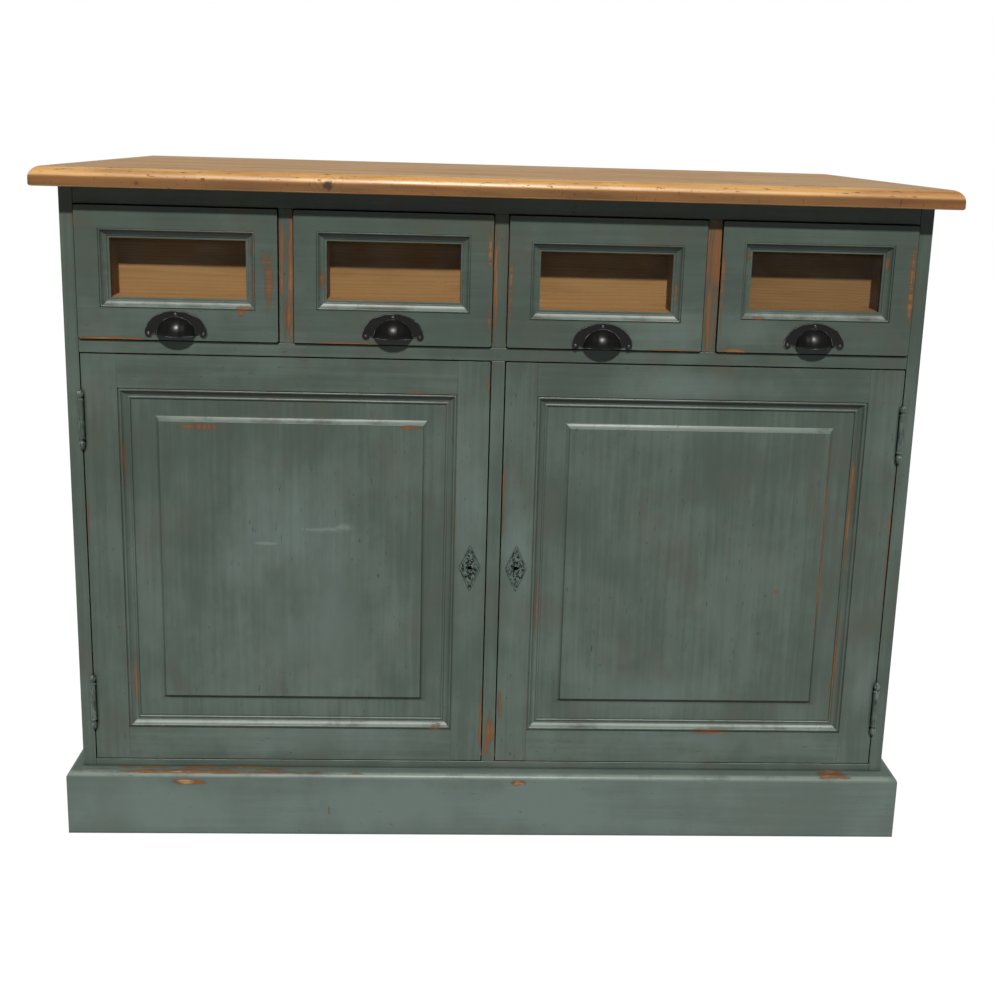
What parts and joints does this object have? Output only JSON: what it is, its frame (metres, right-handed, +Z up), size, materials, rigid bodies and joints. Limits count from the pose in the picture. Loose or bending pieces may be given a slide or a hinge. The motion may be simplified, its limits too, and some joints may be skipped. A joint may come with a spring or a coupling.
{
  "type": "kitchen island unit",
  "caption": "Painted pine kitchen island: waxed top with rounded edge, row of window-fronted drawers with cup pulls, panelled cupboard doors on finial hinges, moulded plinth.",
  "frame": {"origin": "on the floor under the middle of the unit", "axes": "+Z up, +X to the right as seen from the front, the front faces -Y"},
  "size_m": [1.19, 0.613, 0.928],
  "materials": {
    "painted_pine": "grey-green eggshell paint, rubbed through to bare orange-brown pine on the edges",
    "waxed_pine": "waxed old pine, semi-gloss",
    "bare_pine": "bare pine",
    "dark_iron": "dark polished cast iron",
    "painted_iron": "iron painted over with the carcass colour",
    "lock_steel": "dull steel",
    "window_glass": "clear float glass"
  },
  "bodies": {
    "carcass": {"side_panel_left": "painted_pine", "side_panel_right": "painted_pine", "bottom_rail": "painted_pine", "mid_rail": "painted_pine", "top_rail": "painted_pine", "floor_board": "bare_pine", "deck_board": "bare_pine", "centre_partition": "painted_pine", "drawer_dividers": "painted_pine", "back_rails": "bare_pine", "back_panel": "painted_pine", "drawer_stops": "bare_pine", "cupboard_shelves": "bare_pine", "shelf_bearers": "bare_pine", "plinth_front": "painted_pine", "plinth_left": "painted_pine", "plinth_right": "painted_pine", "worktop": "waxed_pine", "hinge_frame_leaves": "painted_iron"},
    "left_door": {"left_door_stiles": "painted_pine", "left_door_rails": "painted_pine", "left_door_panel": "painted_pine", "left_door_moulding": "painted_pine", "left_door_escutcheon": "dark_iron", "left_lock_case": "lock_steel", "left_door_hinge_leaves": "painted_iron"},
    "left_bolt": {"left_lock_bolt": "lock_steel"},
    "right_door": {"right_door_stiles": "painted_pine", "right_door_rails": "painted_pine", "right_door_panel": "painted_pine", "right_door_moulding": "painted_pine", "right_door_escutcheon": "dark_iron", "right_lock_case": "lock_steel", "right_door_hinge_leaves": "painted_iron"},
    "right_bolt": {"right_lock_bolt": "lock_steel"},
    "drawer_1": {"drawer_1_front": "painted_pine", "drawer_1_window_moulding": "painted_pine", "drawer_1_glass": "window_glass", "drawer_1_display_case": "bare_pine", "drawer_1_box": "bare_pine", "drawer_1_pull": "dark_iron"},
    "drawer_2": {"drawer_2_front": "painted_pine", "drawer_2_window_moulding": "painted_pine", "drawer_2_glass": "window_glass", "drawer_2_display_case": "bare_pine", "drawer_2_box": "bare_pine", "drawer_2_pull": "dark_iron"},
    "drawer_3": {"drawer_3_front": "painted_pine", "drawer_3_window_moulding": "painted_pine", "drawer_3_glass": "window_glass", "drawer_3_display_case": "bare_pine", "drawer_3_box": "bare_pine", "drawer_3_pull": "dark_iron"},
    "drawer_4": {"drawer_4_front": "painted_pine", "drawer_4_window_moulding": "painted_pine", "drawer_4_glass": "window_glass", "drawer_4_display_case": "bare_pine", "drawer_4_box": "bare_pine", "drawer_4_pull": "dark_iron"}
  },
  "joints": [
    {"name": "left_door_hinge", "type": "hinge", "parent": "carcass", "child": "left_door", "pos_m": [-0.5513, -0.2731, 0.39525], "axis": [0, 0, -1], "range_deg": [0, 170]},
    {"name": "left_lock_bolt_slide", "type": "slide", "parent": "left_door", "child": "left_bolt", "axis": [1, 0, 0], "range_m": [0, 0.007]},
    {"name": "right_door_hinge", "type": "hinge", "parent": "carcass", "child": "right_door", "pos_m": [0.5513, -0.2731, 0.39525], "axis": [0, 0, 1], "range_deg": [0, 170]},
    {"name": "right_lock_bolt_slide", "type": "slide", "parent": "right_door", "child": "right_bolt", "axis": [-1, 0, 0], "range_m": [0, 0.007]},
    {"name": "drawer_1_slide", "type": "slide", "parent": "carcass", "child": "drawer_1", "axis": [0, -1, 0], "range_m": [0, 0.36]},
    {"name": "drawer_2_slide", "type": "slide", "parent": "carcass", "child": "drawer_2", "axis": [0, -1, 0], "range_m": [0, 0.36]},
    {"name": "drawer_3_slide", "type": "slide", "parent": "carcass", "child": "drawer_3", "axis": [0, -1, 0], "range_m": [0, 0.36]},
    {"name": "drawer_4_slide", "type": "slide", "parent": "carcass", "child": "drawer_4", "axis": [0, -1, 0], "range_m": [0, 0.36]}
  ]
}
